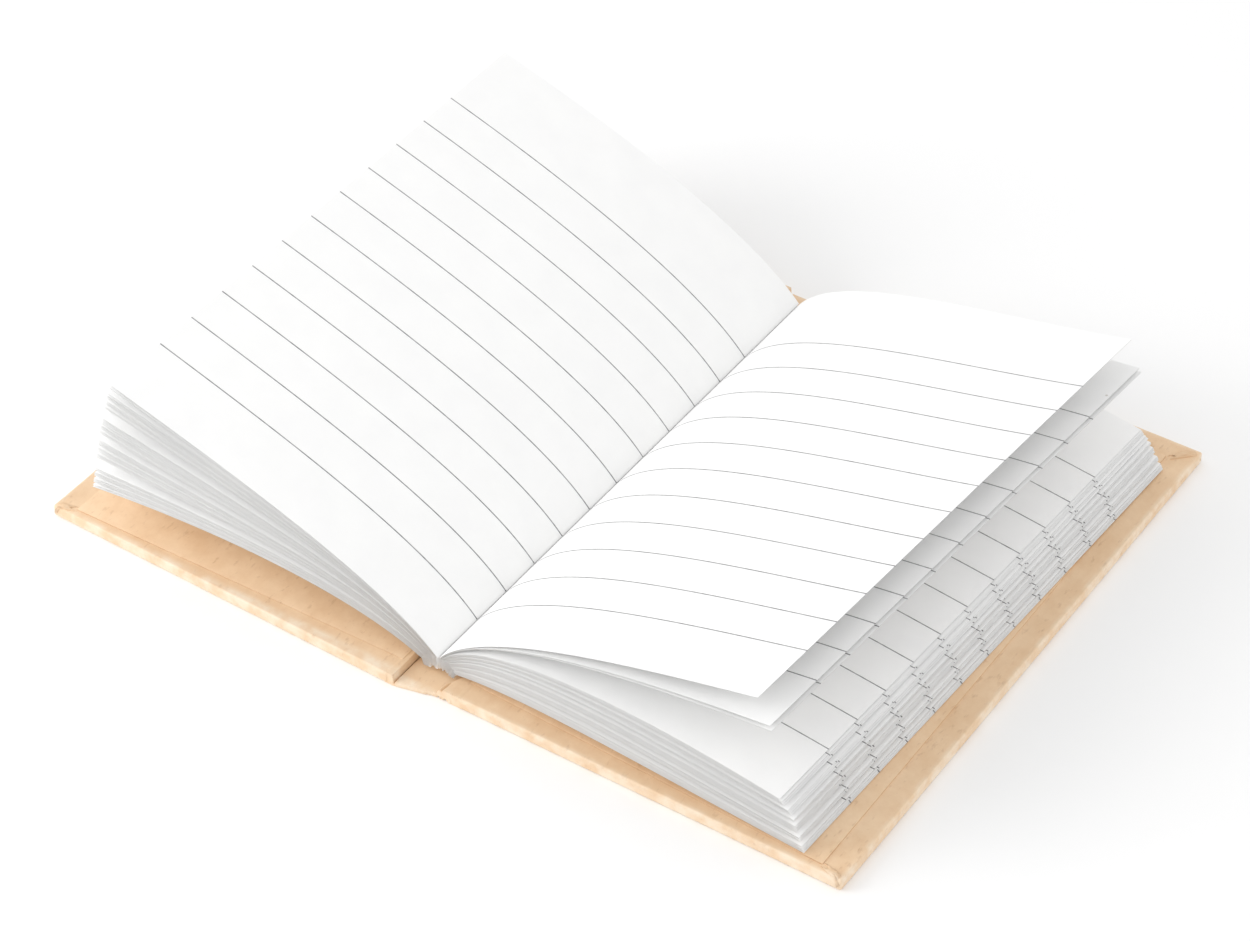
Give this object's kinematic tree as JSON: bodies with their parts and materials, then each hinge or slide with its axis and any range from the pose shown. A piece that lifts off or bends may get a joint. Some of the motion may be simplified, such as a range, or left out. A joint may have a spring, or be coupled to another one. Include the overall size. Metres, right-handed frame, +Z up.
{
  "type": "pocket notebook",
  "caption": "Small hard-cover notebook lying open, with kraft paper covers on stiff boards and fanned, ruled white leaves that close with the covers.",
  "frame": {"origin": "under the middle of the open book, on the surface that its covers lie on", "axes": "+X across the spread towards the back cover, +Y along the spine towards the head of the pages, +Z up"},
  "size_m": [0.1436, 0.111, 0.0322],
  "materials": {
    "kraft_paper": "smooth brown wrapping paper",
    "grey_board": "pressed grey board",
    "page_paper": "white uncoated paper ruled with thin grey lines",
    "binding_glue": "paper lining set in dried glue"
  },
  "bodies": {
    "spine": {"spine_kraft_wrap": "kraft_paper", "spine_card_strip": "grey_board", "spine_kraft_lining": "kraft_paper", "text_block_lining": "binding_glue", "section_1_fold": "page_paper", "section_2_fold": "page_paper", "section_3_fold": "page_paper", "section_4_fold": "page_paper", "section_5_fold": "page_paper", "section_6_fold": "page_paper"},
    "front_cover": {"front_board": "grey_board", "front_kraft_wrap": "kraft_paper", "front_pastedown": "kraft_paper"},
    "back_cover": {"back_board": "grey_board", "back_kraft_wrap": "kraft_paper", "back_pastedown": "kraft_paper"},
    "section_1": {"section_1_leaves": "page_paper"},
    "section_2": {"section_2_leaves": "page_paper"},
    "left_leaf": {"section_3_left_leaf": "page_paper"},
    "section_6": {"section_6_leaves": "page_paper"},
    "section_5": {"section_5_leaves": "page_paper"},
    "section_4": {"section_4_leaves": "page_paper"},
    "second_leaf": {"section_3_second_leaf": "page_paper"},
    "right_leaf": {"section_3_right_leaf": "page_paper"}
  },
  "joints": [
    {"name": "front_cover_hinge", "type": "hinge", "parent": "spine", "child": "front_cover", "pos_m": [-0.005, 0, 0.0001], "axis": [0, 1, 0], "range_deg": [0, 90]},
    {"name": "back_cover_hinge", "type": "hinge", "parent": "spine", "child": "back_cover", "pos_m": [0.005, 0, 0.0001], "axis": [0, -1, 0], "range_deg": [0, 90]},
    {"name": "section_1_fan", "type": "hinge", "parent": "spine", "child": "section_1", "pos_m": [-0.00219, 0, 0.00258], "axis": [0, 1, 0], "range_deg": [0, 80.92], "deforming": ["section_1_leaves"]},
    {"name": "section_2_fan", "type": "hinge", "parent": "spine", "child": "section_2", "pos_m": [-0.00203, 0, 0.00274], "axis": [0, 1, 0], "range_deg": [0, 72.69], "deforming": ["section_2_leaves"]},
    {"name": "left_leaf_fan", "type": "hinge", "parent": "spine", "child": "left_leaf", "pos_m": [-0.00334, 0, 0.0028], "axis": [0, 1, 0], "range_deg": [0, 64.45], "deforming": ["section_3_left_leaf"]},
    {"name": "section_6_fan", "type": "hinge", "parent": "spine", "child": "section_6", "pos_m": [0.00338, 0, 0.00177], "axis": [0, -1, 0], "range_deg": [0, 89.35], "deforming": ["section_6_leaves"]},
    {"name": "section_5_fan", "type": "hinge", "parent": "spine", "child": "section_5", "pos_m": [0.0028, 0, 0.00229], "axis": [0, -1, 0], "range_deg": [0, 87.51], "deforming": ["section_5_leaves"]},
    {"name": "section_4_fan", "type": "hinge", "parent": "spine", "child": "section_4", "pos_m": [0.00208, 0, 0.00298], "axis": [0, -1, 0], "range_deg": [0, 85.68], "deforming": ["section_4_leaves"]},
    {"name": "second_leaf_fan", "type": "hinge", "parent": "spine", "child": "second_leaf", "pos_m": [0.00202, 0, 0.00345], "axis": [0, -1, 0], "range_deg": [0, 74.52], "deforming": ["section_3_second_leaf"]},
    {"name": "right_leaf_turn", "type": "hinge", "parent": "second_leaf", "child": "right_leaf", "pos_m": [0.0006, 0, 0.0047], "axis": [0, 1, 0], "range_deg": [-95, 0], "deforming": ["section_3_right_leaf"]}
  ],
  "couplings": [
    {"joint": "section_1_fan", "follows": "front_cover_hinge", "ratio": 0.89906},
    {"joint": "section_2_fan", "follows": "front_cover_hinge", "ratio": 0.80752},
    {"joint": "left_leaf_fan", "follows": "front_cover_hinge", "ratio": 0.71602},
    {"joint": "section_6_fan", "follows": "back_cover_hinge", "ratio": 0.99266},
    {"joint": "section_5_fan", "follows": "back_cover_hinge", "ratio": 0.97222},
    {"joint": "section_4_fan", "follows": "back_cover_hinge", "ratio": 0.95184},
    {"joint": "second_leaf_fan", "follows": "back_cover_hinge", "ratio": 0.82784}
  ]
}
